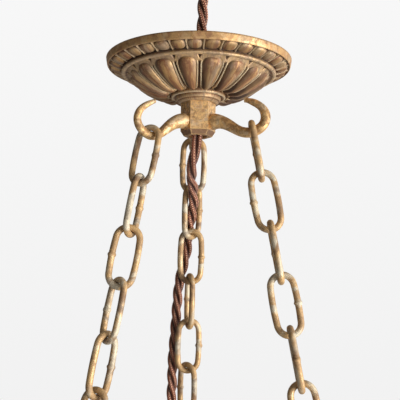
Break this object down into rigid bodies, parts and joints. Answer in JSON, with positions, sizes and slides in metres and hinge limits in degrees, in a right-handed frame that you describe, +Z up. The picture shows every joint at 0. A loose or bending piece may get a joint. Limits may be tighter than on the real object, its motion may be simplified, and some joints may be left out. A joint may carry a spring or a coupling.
{
  "type": "bowl pendant light",
  "caption": "Alabaster bowl pendant hung on welded link chains from a hexagonal hub with bent hooks under a pressed brass ceiling canopy, with twisted textile flex.",
  "frame": {"origin": "centre of the ceiling plane, between the mounting strap's two slots", "axes": "+Z up into the ceiling, -Y towards the viewer, the strap's slots along X"},
  "size_m": [0.35, 0.3622, 0.862],
  "materials": {
    "canopy_bronze": "aged pressed brass, brown patina with verdigris in the recesses",
    "hub_brass": "aged brass bar, satin with worn edges",
    "hook_brass": "golden brass with brown mottled patina",
    "chain_brass": "tan aged brass with pale green bloom",
    "hanger_brass": "aged brass, satin",
    "strap_steel": "zinc-plated pressed steel",
    "rod_steel": "zinc-plated threaded tube and nuts",
    "earth_brass": "bright turned brass",
    "bush_plastic": "black moulded plastic",
    "block_plastic": "off-white moulded plastic",
    "flex_textile": "brown braided textile over three twisted cores",
    "bowl_alabaster": "polished translucent alabaster with amber veins",
    "fibre": "red vulcanised fibre",
    "lampholder_brass": "drawn brass, lightly aged",
    "core_porcelain": "glazed white porcelain",
    "shell_brass": "bright rolled brass",
    "opal_glass": "opal white glass",
    "cap_metal": "rolled cap, satin",
    "cap_insulator": "black vitreous glass"
  },
  "bodies": {
    "ceiling_fitting": {"canopy": "canopy_bronze", "mounting_strap": "strap_steel", "earth_screw": "earth_brass", "ceiling_rod": "rod_steel", "rod_nuts": "rod_steel", "rod_bush": "bush_plastic", "hub": "hub_brass", "hook_left": "hook_brass", "hook_right": "hook_brass", "hook_rear": "hook_brass", "flex_upper": "flex_textile", "terminal_block": "block_plastic", "terminal_screws": "earth_brass"},
    "chain_left": {"link_left_1": "chain_brass", "link_left_2": "chain_brass", "link_left_3": "chain_brass", "link_left_4": "chain_brass", "link_left_5": "chain_brass", "link_left_6": "chain_brass", "links_left_lower": "chain_brass"},
    "chain_right": {"link_right_1": "chain_brass", "link_right_2": "chain_brass", "link_right_3": "chain_brass", "link_right_4": "chain_brass", "link_right_5": "chain_brass", "link_right_6": "chain_brass", "links_right_lower": "chain_brass"},
    "chain_rear": {"link_rear_1": "chain_brass", "link_rear_2": "chain_brass", "link_rear_3": "chain_brass", "link_rear_4": "chain_brass", "link_rear_5": "chain_brass", "link_rear_6": "chain_brass", "links_rear_lower": "chain_brass", "flex_chain": "flex_textile"},
    "bowl_assembly": {"flex_bowl": "flex_textile", "bowl": "bowl_alabaster", "hanger_left": "hanger_brass", "hanger_right": "hanger_brass", "hanger_rear": "hanger_brass", "hanger_nuts": "hanger_brass", "hanger_washers": "hanger_brass", "hanger_fibre_washers": "fibre", "hanger_rosettes": "hanger_brass", "centre_rod": "rod_steel", "centre_fibre_washers": "fibre", "outer_dish": "hanger_brass", "finial": "hanger_brass", "lampholder_base": "lampholder_brass", "base_nut": "rod_steel", "flex_entry_bush": "bush_plastic", "lampholder_core": "core_porcelain", "screw_shell": "shell_brass", "lampholder_skirt": "lampholder_brass", "centre_contact": "shell_brass"},
    "bulb": {"bulb_tip": "cap_metal", "bulb_insulator": "cap_insulator", "bulb_cap": "cap_metal", "bulb_glass": "opal_glass"}
  },
  "joints": [
    {"name": "bowl_sway", "type": "hinge", "parent": "ceiling_fitting", "child": "bowl_assembly", "pos_m": [0, 0, 0.12779], "axis": [0, 1, 0], "range_deg": [-2.5, 2.5]},
    {"name": "chain_left_swing", "type": "hinge", "parent": "ceiling_fitting", "child": "chain_left", "pos_m": [-0.02701, -0.01822, -0.04624], "axis": [0, 1, 0], "range_deg": [-3.3, 3.3]},
    {"name": "chain_right_swing", "type": "hinge", "parent": "ceiling_fitting", "child": "chain_right", "pos_m": [0.03082, -0.01503, -0.04225], "axis": [0, 1, 0], "range_deg": [-3.3, 3.3]},
    {"name": "chain_rear_swing", "type": "hinge", "parent": "ceiling_fitting", "child": "chain_rear", "pos_m": [-0.00239, 0.0342, -0.04225], "axis": [0, 1, 0], "range_deg": [-3.3, 3.3]},
    {"name": "bulb_unscrew", "type": "slide", "parent": "bowl_assembly", "child": "bulb", "axis": [0, 0, 1], "range_m": [0, 0.026]}
  ],
  "couplings": [
    {"joint": "chain_left_swing", "follows": "bowl_sway", "ratio": 1.3035},
    {"joint": "chain_right_swing", "follows": "bowl_sway", "ratio": 1.2966},
    {"joint": "chain_rear_swing", "follows": "bowl_sway", "ratio": 1.2966}
  ]
}
